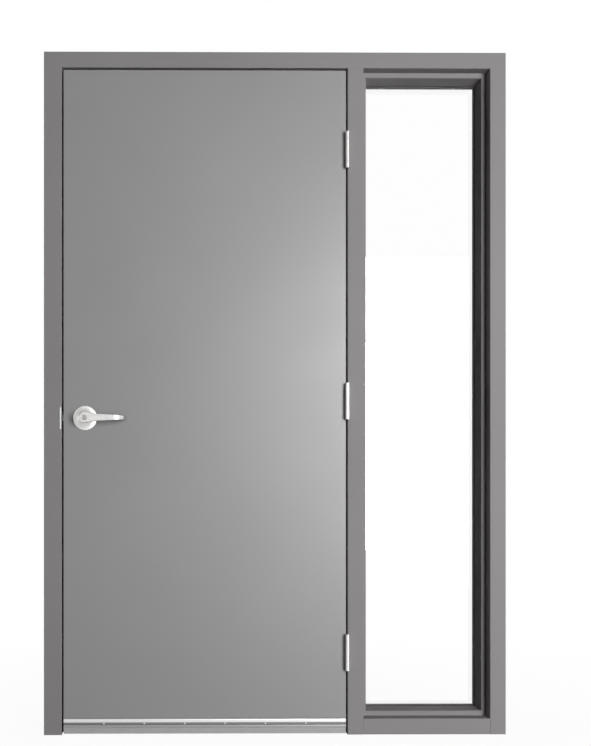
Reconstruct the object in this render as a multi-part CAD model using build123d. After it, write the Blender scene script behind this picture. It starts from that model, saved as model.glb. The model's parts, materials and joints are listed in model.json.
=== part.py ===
from build123d import *
import math
import os

os.makedirs("parts", exist_ok=True)

# A flush steel door leaf in a welded steel frame with a sidelite, in millimetres.
# X runs to the right of someone facing the pull side, Y runs away from them, Z is up.
# The origin is on the floor, at the middle of the mullion's foot.

# Driving dimensions: openings
door_opening_width = 914.4
door_opening_height = 2133.6
sidelite_opening_width = 406.4

# Driving dimensions: frame section
frame_depth = 171.45
strike_jamb_face = 57.15
mullion_face = 50.8
sidelite_jamb_face = 50.8
head_face = 50.8
sill_face = 50.8
front_rabbet = 49.2
back_rabbet = 39.7
stop_height = 15.9
frame_return = 12.7
frame_sheet = 1.5
bend_radius = 1.5

# Driving dimensions: leaf
leaf_thickness = 44.45
side_gap = 4.8
top_gap = 8.0
undercut = 19.0
leaf_setback = 1.55
leaf_sheet = 1.2
leaf_bend_radius = 0.8
edge_bevel = 3.2
stiffener_count = 5
stiffener_sheet = 0.8
stiffener_flange = 25.0
end_channel_height = 32.0
end_channel_sheet = 1.5
channel_side_clearance = 2.0

# Driving dimensions: hinges
hinge_height = 114.3
hinge_reach = 57.15
hinge_thickness = 3.4
hinge_setoff = 19.05
hinge_end_distance = 265.0
barrel_radius = 6.35
knuckle_count = 5
knuckle_gap = 0.4
pin_radius = 4.0
pin_tip_height = 1.6
running_clearance = 0.05
cutout_clearance = 0.3
hinge_plate_length = 203.0
hinge_plate_thickness = 4.8
hinge_screw_outer_height = 46.0
hinge_screw_inner_height = 18.5
hinge_screw_row_offset = 6.4

# Driving dimensions: screws
screw_shank_radius = 2.7
screw_head_radius = 5.4
screw_head_depth = 2.7
screw_length = 12.7

# Driving dimensions: lock and levers
lock_height = 1013.0
backset = 69.85
cross_bore_radius = 27.0
latch_bore_radius = 12.7
chassis_radius = 25.4
chassis_wall = 2.0
chassis_end_wall = 6.0
hub_radius = 14.0
shank_radius = 10.0
spindle_side = 7.0
rose_radius = 38.0
rose_height = 9.5
rose_rim_height = 2.6
rose_flat_radius = 20.0
rose_dome_rise = 1.6
lever_projection = 62.0
lever_reach = 132.0
lever_hub_radius = 18.0
lever_neck_radius = 15.5
lever_neck_length = 20.0
lever_flare_radius = 17.0
lever_arm_start = 38.0
lever_arm_height = 23.0
lever_bend_height = 18.5
lever_end_height = 14.0
lever_arm_thickness = 12.0
lever_bend_radius = 40.0
lever_waist_radius = 40.0
lever_corner_radius = 3.0
lever_edge_radius = 2.5
lever_return_gap = 14.0
lever_gap = 0.3
plug_radius = 6.4
plug_length = 22.0
plug_dish_radius = 9.0
plug_dish_depth = 1.5
keyway_width = 2.2
keyway_height = 8.0
keyway_depth = 17.6

# Driving dimensions: latch and strike
latch_throw = 12.7
latch_head_height = 18.0
latch_head_width = 12.0
latch_head_length = 26.0
latch_tail_radius = 3.0
latch_nose = 2.4
latch_slope_length = 10.8
retractor_web = 3.2
retractor_arm = 2.5
retractor_width = 16.0
retractor_gap = 1.8
latch_case_radius = 12.3
latch_case_wall = 1.2
face_plate_height = 57.15
face_plate_width = 28.6
face_plate_thickness = 2.4
face_plate_corner_radius = 3.2
face_plate_screw_height = 20.6
lock_box_height = 203.0
lock_box_length = 104.0
lock_box_sheet = 1.5
strike_height = 123.8
strike_width = 31.75
strike_thickness = 2.4
strike_lip_height = 70.0
strike_lip_reach = 7.4
strike_lip_stand = 0.6
strike_lip_corner_radius = 3.0
strike_screw_height = 52.4
strike_hole_clearance = 1.5
strike_plate_length = 176.0
strike_plate_width = 35.0
strike_plate_sheet = 3.0
dust_box_height = 86.0
dust_box_width = 30.0
dust_box_depth = 22.0
dust_box_sheet = 0.8

# Driving dimensions: door sweep
sweep_bottom = 24.5
sweep_upper_bead = 13.5
sweep_groove = 6.7
sweep_lower_bead = 8.8
sweep_bead_stand = 6.0
sweep_base = 2.0
sweep_bead_round = 2.4
sweep_slot_depth = 7.5
sweep_side_clearance = 1.5
sweep_floor_clearance = 5.0
sweep_seal_thickness = 3.0
sweep_screw_count = 6
sweep_screw_head_radius = 2.8
sweep_screw_radius = 1.6

# Driving dimensions: sidelite glazing
glass_thickness = 6.35
glass_edge_clearance = 4.0
tape_thickness = 3.2
tape_height = 9.0
bead_sheet = 1.0
bead_back_clearance = 0.5
bead_corner_clearance = 0.2
bead_screw_radius = 1.8
bead_screw_head_radius = 3.6
bead_screw_head_height = 1.8
bead_screw_spacing = 380.0
bead_screw_end_share = 0.2
setting_block_length = 64.0
setting_block_share = 0.25

# Driving dimensions: anchors and silencers
floor_anchor_sheet = 2.6
floor_anchor_clearance = 4.775
floor_anchor_leg = 45.0
floor_anchor_width = 52.0
floor_anchor_hole_radius = 5.0
floor_anchor_hole_edge = 14.0
wall_anchor_sheet = 1.5
wall_anchor_height = 45.0
wall_anchor_flange = 25.0
wall_anchor_inset = 8.0
wall_anchor_hole_radius = 3.2
wall_anchor_hole_spacing = 76.0
wall_anchor_count = 3
silencer_radius = 5.5
silencer_crown_radius = 4.4
silencer_stem_radius = 3.0
silencer_clearance = 0.3
silencer_count = 3

# Frame planes
front = -frame_depth / 2
back = frame_depth / 2
stop_front = front + front_rabbet
stop_back = back - back_rabbet
stop_width = stop_back - stop_front
opening_right = -mullion_face / 2
opening_left = opening_right - door_opening_width
frame_left = opening_left - strike_jamb_face
sidelite_left = mullion_face / 2
sidelite_right = sidelite_left + sidelite_opening_width
frame_right = sidelite_right + sidelite_jamb_face
frame_top = door_opening_height + head_face

# Leaf planes
leaf_left = opening_left + side_gap
leaf_right = opening_right - side_gap
leaf_top = door_opening_height - top_gap
leaf_front = front + leaf_setback
leaf_back = leaf_front + leaf_thickness
leaf_middle = (leaf_front + leaf_back) / 2
leaf_left_back = leaf_left + edge_bevel
leaf_left_middle = (leaf_left + leaf_left_back) / 2

# Hinge axis and heights
axis_x = opening_right - side_gap / 2
axis_y = leaf_front - hinge_setoff
hinge_heights = [
    hinge_end_distance,
    door_opening_height / 2,
    door_opening_height - hinge_end_distance,
]

# Floor anchors, between the folds of the stop
floor_anchor_length = stop_width - 2 * (frame_sheet + floor_anchor_clearance)
floor_anchor_hole_spacing = floor_anchor_length - 2 * floor_anchor_hole_edge

# Lock axis
lever_x = leaf_left + backset
lever_axis_point = (lever_x, leaf_middle, lock_height)


def sideways(path, distance, closed):
    """Points of path moved by distance to the left of the direction of travel."""
    moved = []
    turns = []
    for i, here in enumerate(path):
        pairs = []
        if closed or i > 0:
            pairs.append((path[i - 1], here))
        if closed or i < len(path) - 1:
            pairs.append((here, path[(i + 1) % len(path)]))
        normals = []
        for start, end in pairs:
            run = end[0] - start[0]
            rise = end[1] - start[1]
            length = math.hypot(run, rise)
            normals.append((-rise / length, run / length))
        first = normals[0]
        last = normals[-1]
        along = 1 + first[0] * last[0] + first[1] * last[1]
        moved.append(
            (
                here[0] + distance * (first[0] + last[0]) / along,
                here[1] + distance * (first[1] + last[1]) / along,
            )
        )
        turns.append(first[0] * last[1] - first[1] * last[0])
    return moved, turns


def folded_sheet(path, thickness, radius, closed=False):
    """Section of a bent sheet whose visible side is path and whose metal lies left of it."""
    inner, turns = sideways(path, thickness, closed)
    outside = radius + thickness
    path_radii = [outside if turn > 0 else radius for turn in turns]
    inner_radii = [radius if turn > 0 else outside for turn in turns]
    if closed:
        outer_face = make_face(FilletPolyline(*path, radius=path_radii, close=True))
        inner_face = make_face(FilletPolyline(*inner, radius=inner_radii, close=True))
        return outer_face - inner_face
    path_radii[0] = path_radii[-1] = inner_radii[0] = inner_radii[-1] = 0
    outline = path + inner[::-1]
    radii = path_radii + inner_radii[::-1]
    return make_face(FilletPolyline(*outline, radius=radii, close=True))


def across(points):
    """Everything in front of and behind an outline drawn in the plane of the door."""
    outline = make_face(Polyline(*points, close=True))
    return extrude(Plane.XZ * outline, amount=frame_depth, both=True)


def box_between(low, high):
    """Box from one corner to the opposite one."""
    size = [high[i] - low[i] for i in range(3)]
    middle = [(high[i] + low[i]) / 2 for i in range(3)]
    return Pos(*middle) * Box(*size)


def cylinder_along(direction, centre, radius, length):
    """Cylinder of a given length, centred on a point and pointing along a direction."""
    return Plane(origin=centre, z_dir=direction) * Cylinder(radius, length)


def member_path(face):
    """Depth and distance from the opening, along a frame member from front to back."""
    return [
        (frame_return, face),
        (0, face),
        (0, 0),
        (front_rabbet, 0),
        (front_rabbet, -stop_height),
        (front_rabbet + stop_width, -stop_height),
        (front_rabbet + stop_width, 0),
        (frame_depth, 0),
        (frame_depth, face),
        (frame_depth - frame_return, face),
    ]


def upright_section(edge, side, face):
    """Section of a jamb whose opening edge is at X edge and whose wall is on one side."""
    path = [(edge + side * out, front + depth) for depth, out in member_path(face)]
    return folded_sheet(path if side < 0 else path[::-1], frame_sheet, bend_radius)


def level_member(edge, side, face, start, end):
    """Head or sill whose opening edge is at Z edge, from X start to X end."""
    path = [(front + depth, edge + side * out) for depth, out in member_path(face)]
    section = folded_sheet(path if side > 0 else path[::-1], frame_sheet, bend_radius)
    plane = Plane(origin=(start, 0, 0), x_dir=(0, 1, 0), z_dir=(1, 0, 0))
    return extrude(plane * section, amount=end - start)


# Frame members, mitred at the stops and butted or mitred at the faces


def make_strike_jamb():
    stop_edge = opening_left + stop_height
    jamb = extrude(upright_section(opening_left, -1, strike_jamb_face), frame_top)
    keep = across(
        [
            (frame_left, 0),
            (stop_edge, 0),
            (stop_edge, door_opening_height - stop_height),
            (opening_left, door_opening_height),
            (frame_left, frame_top),
        ]
    )
    jamb = jamb & keep
    jamb -= strike_cutout()
    for height in silencer_heights():
        hole = cylinder_along(
            (0, 1, 0),
            (silencer_x(), stop_front, height),
            silencer_stem_radius,
            4 * frame_sheet,
        )
        jamb -= hole
    return jamb


def make_mullion():
    half = mullion_face / 2
    wide = half + stop_height
    right_side = [
        (half, front),
        (half, stop_front),
        (wide, stop_front),
        (wide, stop_back),
        (half, stop_back),
        (half, back),
    ]
    left_side = [(-x, y) for x, y in reversed(right_side)]
    section = folded_sheet(
        right_side + left_side, frame_sheet, bend_radius, closed=True
    )
    keep = across(
        [
            (-wide, 0),
            (half, 0),
            (half, sill_face),
            (wide, sill_face + stop_height),
            (wide, door_opening_height - stop_height),
            (half, door_opening_height),
            (-half, door_opening_height),
            (-wide, door_opening_height - stop_height),
        ]
    )
    mullion = extrude(section, door_opening_height) & keep
    for height in hinge_heights:
        mullion -= box_between(
            (
                opening_right - cutout_clearance,
                front - barrel_radius,
                height - hinge_height / 2 - cutout_clearance,
            ),
            (
                opening_right + hinge_thickness + cutout_clearance,
                axis_y + hinge_reach + cutout_clearance,
                height + hinge_height / 2 + cutout_clearance,
            ),
        )
    return mullion


def make_sidelite_jamb():
    stop_edge = sidelite_right - stop_height
    jamb = extrude(upright_section(sidelite_right, 1, sidelite_jamb_face), frame_top)
    keep = across(
        [
            (sidelite_right, 0),
            (frame_right, 0),
            (frame_right, frame_top),
            (sidelite_right, door_opening_height),
            (stop_edge, door_opening_height - stop_height),
            (stop_edge, sill_face + stop_height),
            (sidelite_right, sill_face),
        ]
    )
    return jamb & keep


def make_head():
    stop_edge = door_opening_height - stop_height
    half = mullion_face / 2
    head = level_member(door_opening_height, 1, head_face, frame_left, frame_right)
    keep = across(
        [
            (frame_left, frame_top),
            (frame_right, frame_top),
            (sidelite_right, door_opening_height),
            (sidelite_right - stop_height, stop_edge),
            (half + stop_height, stop_edge),
            (half, door_opening_height),
            (-half, door_opening_height),
            (-half - stop_height, stop_edge),
            (opening_left + stop_height, stop_edge),
            (opening_left, door_opening_height),
        ]
    )
    return head & keep


def make_sidelite_sill():
    stop_edge = sill_face + stop_height
    sill = level_member(sill_face, -1, sill_face, sidelite_left, sidelite_right)
    keep = across(
        [
            (sidelite_left, 0),
            (sidelite_right, 0),
            (sidelite_right, sill_face),
            (sidelite_right - stop_height, stop_edge),
            (sidelite_left + stop_height, stop_edge),
            (sidelite_left, sill_face),
        ]
    )
    return sill & keep


# Reinforcement plates: flat in the middle, with ends that step out to meet a sheet


def stepped_plate(length, width, thickness, sheet, seat_depth, seat_length):
    """Plate along Z whose ends lie at depth sheet and whose middle lies at seat_depth.

    Depth runs along X from 0 at the outer surface. The width is centred on Y 0.
    """
    end = length / 2
    half_seat = seat_length / 2
    step = seat_depth - sheet
    path = [
        (sheet, end),
        (sheet, half_seat + step),
        (seat_depth, half_seat),
        (seat_depth, -half_seat),
        (sheet, -half_seat - step),
        (sheet, -end),
    ]
    inner, _ = sideways(path, thickness, False)
    section = make_face(Polyline(*(path + inner[::-1]), close=True))
    return extrude(Plane.XZ * section, amount=width / 2, both=True)


def hinge_screw_places(height):
    """Y and Z of the four screws in each hinge leaf."""
    middle = (leaf_front + axis_y + hinge_reach) / 2
    places = []
    for end in (-1, 1):
        places.append((middle + hinge_screw_row_offset, height + end * hinge_screw_outer_height))
        places.append((middle - hinge_screw_row_offset, height + end * hinge_screw_inner_height))
    return places


def make_hinge_plates(side):
    """Plates behind the hinges: side 1 is in the mullion, side -1 in the leaf."""
    if side > 0:
        surface, sheet = opening_right, frame_sheet
        low = front + frame_sheet + bend_radius + cutout_clearance
    else:
        surface, sheet = leaf_right, leaf_sheet
        low = leaf_front + leaf_sheet + leaf_bend_radius + cutout_clearance
    high = axis_y + hinge_reach + cutout_clearance
    plate = stepped_plate(
        hinge_plate_length,
        high - low,
        hinge_plate_thickness,
        sheet,
        hinge_thickness,
        hinge_height + 2 * hinge_thickness,
    )
    if side < 0:
        plate = mirror(plate, Plane.YZ)
    plates = []
    for height in hinge_heights:
        drilled = Pos(surface, (low + high) / 2, height) * plate
        for y, z in hinge_screw_places(height):
            middle = (surface + side * hinge_thickness, y, z)
            reach = 4 * hinge_plate_thickness
            drilled -= cylinder_along((1, 0, 0), middle, screw_shank_radius, reach)
        plates.append(drilled)
    return plates


# Screws


def countersunk_screw(point, direction):
    """Flat-head screw whose head is flush with point and whose tip lies along direction."""
    half = [
        (0, 0),
        (screw_head_radius, 0),
        (screw_shank_radius, screw_head_depth),
        (screw_shank_radius, screw_length),
        (0, screw_length),
    ]
    section = make_face(Polyline(*half, close=True))
    screw = revolve(Plane.XZ * section, Axis.Z)
    return Plane(origin=point, z_dir=direction) * screw


def countersink(point, direction):
    """Cone and hole that a flat-head screw sits in."""
    reach = 4 * screw_head_depth
    half = [
        (0, 0),
        (screw_head_radius, 0),
        (screw_shank_radius, screw_head_depth),
        (screw_shank_radius, reach),
        (0, reach),
    ]
    section = make_face(Polyline(*half, close=True))
    return Plane(origin=point, z_dir=direction) * revolve(Plane.XZ * section, Axis.Z)


# Hinges


def knuckle_span(index):
    """Bottom and top of one knuckle, from the middle of the hinge."""
    pitch = hinge_height / knuckle_count
    low = -hinge_height / 2 + index * pitch
    bottom = low if index == 0 else low + knuckle_gap / 2
    top = low + pitch if index == knuckle_count - 1 else low + pitch - knuckle_gap / 2
    return bottom, top


def make_hinge_leaf(height, side):
    """Hinge leaf with its own knuckles: side 1 is on the mullion, side -1 on the door."""
    own = 0 if side > 0 else 1
    surface = axis_x + side * side_gap / 2
    low_x, high_x = sorted((surface, surface + side * hinge_thickness))
    plate = box_between(
        (low_x, axis_y, height - hinge_height / 2),
        (high_x, axis_y + hinge_reach, height + hinge_height / 2),
    )
    for index in range(knuckle_count):
        bottom, top = knuckle_span(index)
        middle = (axis_x, axis_y, height + (bottom + top) / 2)
        if index % 2 == own:
            plate += cylinder_along((0, 0, 1), middle, barrel_radius, top - bottom)
        else:
            clear = barrel_radius + knuckle_gap
            tall = top - bottom + 2 * knuckle_gap
            if index in (0, knuckle_count - 1):
                tall += 2 * knuckle_gap
            plate -= cylinder_along((0, 0, 1), middle, clear, tall)
    bore = pin_radius + running_clearance
    plate -= cylinder_along((0, 0, 1), (axis_x, axis_y, height), bore, 2 * hinge_height)
    for y, z in hinge_screw_places(height):
        plate -= countersink((surface, y, z), (side, 0, 0))
    return plate


def make_hinge_pin(height):
    """Pin with a button tip at each end."""
    half = hinge_height / 2
    tip = barrel_radius - knuckle_gap
    profile = [
        (0, 0),
        (pin_radius, 0),
        (pin_radius, half),
        (tip, half),
        (tip, half + pin_tip_height / 2),
        (pin_radius, half + pin_tip_height),
        (0, half + pin_tip_height),
    ]
    section = make_face(Polyline(*profile, close=True))
    upper = revolve(Plane.XZ * section, Axis.Z)
    pin = upper + mirror(upper, Plane.XY)
    return Pos(axis_x, axis_y, height) * pin


def make_hinge_screws(side):
    screws = []
    surface = axis_x + side * side_gap / 2
    for height in hinge_heights:
        for y, z in hinge_screw_places(height):
            screws.append(countersunk_screw((surface, y, z), (side, 0, 0)))
    return screws


# Strike


def strike_cutout():
    """Opening in the strike jamb that the strike sits in."""
    deep = strike_thickness + cutout_clearance
    half = strike_height / 2 + cutout_clearance
    lip = strike_lip_height / 2 + cutout_clearance
    edge = leaf_middle - strike_width / 2
    plate = box_between(
        (opening_left - deep, edge - cutout_clearance, lock_height - half),
        (
            opening_left + deep,
            leaf_middle + strike_width / 2 + cutout_clearance,
            lock_height + half,
        ),
    )
    notch = box_between(
        (opening_left - deep, front - frame_sheet, lock_height - lip),
        (opening_left + deep, edge, lock_height + lip),
    )
    return plate + notch


def latch_opening(clearance, low_x, high_x):
    """Box that the latch head passes through, with a clearance all round."""
    wide = latch_head_width / 2 + clearance
    tall = latch_head_height / 2 + clearance
    return box_between(
        (low_x, leaf_middle - wide, lock_height - tall),
        (high_x, leaf_middle + wide, lock_height + tall),
    )


def make_strike_plate():
    edge = leaf_middle - strike_width / 2
    lip_front = front - strike_lip_stand - strike_thickness
    path = [
        (opening_left - strike_lip_reach, lip_front),
        (opening_left, lip_front),
        (opening_left, leaf_middle),
    ]
    section = folded_sheet(path, strike_thickness, bend_radius)
    lip = extrude(section, amount=strike_lip_height / 2, both=True)
    corners = lip.edges().filter_by(Axis.Y).group_by(Axis.X)[0]
    lip = Pos(0, 0, lock_height) * fillet(corners, strike_lip_corner_radius)
    plate = box_between(
        (opening_left - strike_thickness, edge, lock_height - strike_height / 2),
        (
            opening_left,
            leaf_middle + strike_width / 2,
            lock_height + strike_height / 2,
        ),
    )
    plate = plate + lip
    deep = 2 * strike_thickness
    hole = latch_opening(strike_hole_clearance, opening_left - deep, opening_left + deep)
    plate -= hole
    for end in (-1, 1):
        point = (opening_left, leaf_middle, lock_height + end * strike_screw_height)
        plate -= countersink(point, (-1, 0, 0))
    return plate


def make_strike_screws():
    points = [
        (opening_left, leaf_middle, lock_height + end * strike_screw_height)
        for end in (-1, 1)
    ]
    return [countersunk_screw(point, (-1, 0, 0)) for point in points]


def make_strike_reinforcement():
    plate = stepped_plate(
        strike_plate_length,
        strike_plate_width,
        strike_plate_sheet,
        frame_sheet,
        strike_thickness,
        strike_height + 2 * strike_thickness,
    )
    plate = mirror(plate, Plane.YZ)
    plate = Pos(opening_left, leaf_middle, lock_height) * plate
    far = opening_left - 2 * dust_box_depth
    plate -= latch_opening(2 * strike_hole_clearance, far, opening_left)
    for end in (-1, 1):
        point = (opening_left, leaf_middle, lock_height + end * strike_screw_height)
        plate -= countersink(point, (-1, 0, 0))
    return plate


def make_dust_box():
    near = opening_left - strike_thickness - strike_plate_sheet
    outer = box_between(
        (
            near - dust_box_depth,
            leaf_middle - dust_box_width / 2,
            lock_height - dust_box_height / 2,
        ),
        (
            near,
            leaf_middle + dust_box_width / 2,
            lock_height + dust_box_height / 2,
        ),
    )
    open_side = outer.faces().sort_by(Axis.X)[-1]
    return offset(outer, amount=-dust_box_sheet, openings=open_side)


# Silencers, anchors


def silencer_x():
    """Middle of the strike jamb's stop."""
    return opening_left + stop_height / 2


def silencer_heights():
    """Heights of the silencers up the strike jamb."""
    pitch = door_opening_height / silencer_count
    return [(i + 0.5) * pitch for i in range(silencer_count)]


def make_silencers():
    pads = []
    crown = stop_front - leaf_back - silencer_clearance
    for height in silencer_heights():
        profile = [
            (0, 0),
            (silencer_radius, 0),
            (silencer_crown_radius, -crown),
            (0, -crown),
        ]
        section = make_face(Polyline(*profile, close=True))
        pad = revolve(Plane.XZ * section, Axis.Z)
        pad += Pos(0, 0, frame_sheet) * Cylinder(silencer_stem_radius, 2 * frame_sheet)
        place = Plane(origin=(silencer_x(), stop_front, height), z_dir=(0, 1, 0))
        pads.append(place * pad)
    return pads


def floor_anchor_holes():
    """Two holes through a floor anchor, along Y."""
    holes = []
    for end in (-1, 1):
        centre = (0, end * floor_anchor_hole_spacing / 2, 0)
        holes.append(
            cylinder_along((0, 0, 1), centre, floor_anchor_hole_radius, floor_anchor_leg)
        )
    return holes


def stop_middle():
    """Y of the middle of the stop."""
    return (stop_front + stop_back) / 2


def make_jamb_floor_anchor(edge, side, stop_bottom):
    """Angle clip against the inside of a jamb's stop, which starts at Z stop_bottom."""
    inner = edge - side * (stop_height - frame_sheet)
    path = [
        (inner, stop_bottom + floor_anchor_leg),
        (inner, 0),
        (inner + side * floor_anchor_width, 0),
    ]
    section = folded_sheet(
        path if side > 0 else path[::-1], floor_anchor_sheet, bend_radius
    )
    clip = extrude(Plane.XZ * section, amount=floor_anchor_length / 2, both=True)
    middle = inner + side * floor_anchor_width / 2
    for hole in floor_anchor_holes():
        clip -= Pos(middle, 0, 0) * hole
    return Pos(0, stop_middle(), 0) * clip


def make_mullion_floor_anchor():
    """Channel clip between the two stops of the mullion."""
    inner = mullion_face / 2 + stop_height - frame_sheet
    path = [
        (-inner, floor_anchor_leg),
        (-inner, 0),
        (inner, 0),
        (inner, floor_anchor_leg),
    ]
    section = folded_sheet(path, floor_anchor_sheet, bend_radius)
    clip = extrude(Plane.XZ * section, amount=floor_anchor_length / 2, both=True)
    for hole in floor_anchor_holes():
        clip -= hole
    return Pos(0, stop_middle(), 0) * clip


def wall_anchor_heights():
    """Heights of the wall anchors up each jamb."""
    pitch = door_opening_height / wall_anchor_count
    return [(i + 0.5) * pitch for i in range(wall_anchor_count)]


def make_wall_anchors(edge, side, face):
    """Straps that bridge a jamb from its front face to its back face."""
    web = edge + side * (face - wall_anchor_inset)
    foot = web - side * wall_anchor_flange
    path = [
        (foot, front + frame_sheet),
        (web, front + frame_sheet),
        (web, back - frame_sheet),
        (foot, back - frame_sheet),
    ]
    section = folded_sheet(
        path if side > 0 else path[::-1], wall_anchor_sheet, bend_radius
    )
    strap = extrude(section, amount=wall_anchor_height / 2, both=True)
    for end in (-1, 1):
        centre = (web, end * wall_anchor_hole_spacing / 2, 0)
        strap -= cylinder_along(
            (1, 0, 0), centre, wall_anchor_hole_radius, 4 * wall_anchor_sheet
        )
    return [Pos(0, 0, height) * strap for height in wall_anchor_heights()]


# Sidelite glazing


def window(inset):
    """Left, bottom, right and top of the sidelite opening, moved in by inset."""
    return (
        sidelite_left + inset,
        sill_face + inset,
        sidelite_right - inset,
        door_opening_height - inset,
    )


def pane(inset, low_y, high_y):
    """Slab that fills the sidelite opening, moved in by inset."""
    left, bottom, right, top = window(inset)
    return box_between((left, low_y, bottom), (right, high_y, top))


glass_front = stop_back + tape_thickness
glass_back = glass_front + glass_thickness
bead_front = glass_back + tape_thickness
bead_back = back - bead_back_clearance


def make_glass():
    return pane(glass_edge_clearance, glass_front, glass_back)


def make_tape(low_y, high_y):
    outer = stop_height - tape_height
    inside = pane(outer + tape_height, low_y - tape_thickness, high_y + tape_thickness)
    return pane(outer, low_y, high_y) - inside


def make_setting_blocks():
    blocks = []
    half = setting_block_length / 2
    for share in (setting_block_share, 1 - setting_block_share):
        middle = sidelite_left + share * sidelite_opening_width
        blocks.append(
            box_between(
                (middle - half, glass_front, sill_face),
                (middle + half, glass_back, sill_face + glass_edge_clearance),
            )
        )
    return blocks


def bead_path():
    """Depth and height above the rabbet of a removable stop."""
    return [
        (bead_front, 0),
        (bead_front, stop_height),
        (bead_back, stop_height),
        (bead_back, 0),
    ]


def bead_corners():
    """Outlines of the four stops, mitred at the corners of the sidelite."""
    left, bottom, right, top = window(0)
    in_left, in_bottom, in_right, in_top = window(stop_height)
    gap = bead_corner_clearance
    return {
        "left": [
            (left, bottom + gap),
            (left, top - gap),
            (in_left, in_top - gap),
            (in_left, in_bottom + gap),
        ],
        "right": [
            (right, bottom + gap),
            (right, top - gap),
            (in_right, in_top - gap),
            (in_right, in_bottom + gap),
        ],
        "bottom": [
            (left, bottom),
            (right, bottom),
            (in_right, in_bottom),
            (in_left, in_bottom),
        ],
        "top": [(left, top), (right, top), (in_right, in_top), (in_left, in_top)],
    }


def bead_screw_places():
    """Position and direction of each screw, by stop."""
    left, bottom, right, top = window(0)
    middle = (bead_front + bead_back) / 2
    tall = math.floor((top - bottom) / bead_screw_spacing)
    places = {"left": [], "right": [], "bottom": [], "top": []}
    for i in range(tall):
        z = bottom + (i + 0.5) * (top - bottom) / tall
        places["left"].append(((left + stop_height, middle, z), (-1, 0, 0)))
        places["right"].append(((right - stop_height, middle, z), (1, 0, 0)))
    for share in (bead_screw_end_share, 1 - bead_screw_end_share):
        x = left + share * (right - left)
        places["bottom"].append(((x, middle, bottom + stop_height), (0, 0, -1)))
        places["top"].append(((x, middle, top - stop_height), (0, 0, 1)))
    return places


def make_bead(name):
    left, bottom, right, top = window(0)
    path = bead_path()
    if name in ("left", "right"):
        edge, side = (left, 1) if name == "left" else (right, -1)
        outline = [(edge + side * out, depth) for depth, out in path]
        section = folded_sheet(
            outline if side > 0 else outline[::-1], bead_sheet, bead_sheet
        )
        bead = Pos(0, 0, bottom) * extrude(section, top - bottom)
    else:
        edge, side = (bottom, 1) if name == "bottom" else (top, -1)
        outline = [(depth, edge + side * out) for depth, out in path]
        section = folded_sheet(
            outline if side < 0 else outline[::-1], bead_sheet, bead_sheet
        )
        plane = Plane(origin=(left, 0, 0), x_dir=(0, 1, 0), z_dir=(1, 0, 0))
        bead = extrude(plane * section, amount=right - left)
    bead = bead & across(bead_corners()[name])
    for point, direction in bead_screw_places()[name]:
        bead -= cylinder_along(direction, point, bead_screw_radius, 4 * bead_sheet)
    return bead


def make_bead_screws():
    screws = []
    profile = [
        (0, 0),
        (bead_screw_radius, 0),
        (bead_screw_radius, -stop_height),
        (0, -stop_height),
    ]
    stem = revolve(Plane.XZ * make_face(Polyline(*profile, close=True)), Axis.Z)
    head = Pos(0, 0, bead_screw_head_height / 2) * Cylinder(
        bead_screw_head_radius, bead_screw_head_height
    )
    for places in bead_screw_places().values():
        for point, direction in places:
            out = [-part for part in direction]
            screws.append(Plane(origin=point, z_dir=out) * (stem + head))
    return screws


# Leaf


def skin(path):
    """One folded pan of the leaf, with the holes for the lock, hinges and latch."""
    section = folded_sheet(path, leaf_sheet, leaf_bend_radius)
    pan = Pos(0, 0, undercut) * extrude(section, leaf_top - undercut)
    pan -= cylinder_along((0, 1, 0), lever_axis_point, cross_bore_radius, frame_depth)
    pan -= face_plate_blank(cutout_clearance)
    for height in hinge_heights:
        pan -= box_between(
            (
                leaf_right - hinge_thickness - cutout_clearance,
                leaf_front - cutout_clearance,
                height - hinge_height / 2 - cutout_clearance,
            ),
            (
                leaf_right + cutout_clearance,
                axis_y + hinge_reach + cutout_clearance,
                height + hinge_height / 2 + cutout_clearance,
            ),
        )
    return pan


def make_front_skin():
    pan = skin(
        [
            (leaf_left_middle, leaf_middle),
            (leaf_left, leaf_front),
            (leaf_right, leaf_front),
            (leaf_right, leaf_middle),
        ]
    )
    return drilled_for_sweep(pan)


def make_back_skin():
    return skin(
        [
            (leaf_right, leaf_middle),
            (leaf_right, leaf_back),
            (leaf_left_back, leaf_back),
            (leaf_left_middle, leaf_middle),
        ]
    )


def make_end_channel(edge, side):
    """Channel between the skins, with its web at Z edge and its legs towards side."""
    low = leaf_front + leaf_sheet
    high = leaf_back - leaf_sheet
    legs = edge + side * end_channel_height
    path = [(low, legs), (low, edge), (high, edge), (high, legs)]
    section = folded_sheet(
        path if side > 0 else path[::-1], end_channel_sheet, bend_radius
    )
    start = leaf_left_back + leaf_sheet + channel_side_clearance
    end = leaf_right - leaf_sheet - channel_side_clearance
    plane = Plane(origin=(start, 0, 0), x_dir=(0, 1, 0), z_dir=(1, 0, 0))
    return extrude(plane * section, amount=end - start)


def make_stiffeners():
    """Steel channels that join the skins, evenly spaced across the leaf."""
    low = leaf_front + leaf_sheet
    high = leaf_back - leaf_sheet
    bottom = undercut + end_channel_sheet
    top = leaf_top - end_channel_sheet
    pitch = (leaf_right - leaf_left) / (stiffener_count + 1)
    channels = []
    for i in range(stiffener_count):
        web = leaf_left + (i + 1) * pitch
        path = [
            (web + stiffener_flange, low),
            (web, low),
            (web, high),
            (web + stiffener_flange, high),
        ]
        section = folded_sheet(path[::-1], stiffener_sheet, bend_radius)
        reach = end_channel_height
        channel = extrude(section, top - bottom - 2 * reach)
        channels.append(Pos(0, 0, bottom + reach) * channel)
    return channels


def edge_plane():
    """Plane on the bevelled lock edge, at the middle of the latch, facing out."""
    run = leaf_left_back - leaf_left
    slope = Vector(run, leaf_thickness, 0).normalized()
    out = Vector(-slope.Y, slope.X, 0)
    return Plane(
        origin=(leaf_left_middle, leaf_middle, lock_height), x_dir=slope, z_dir=out
    )


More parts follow.
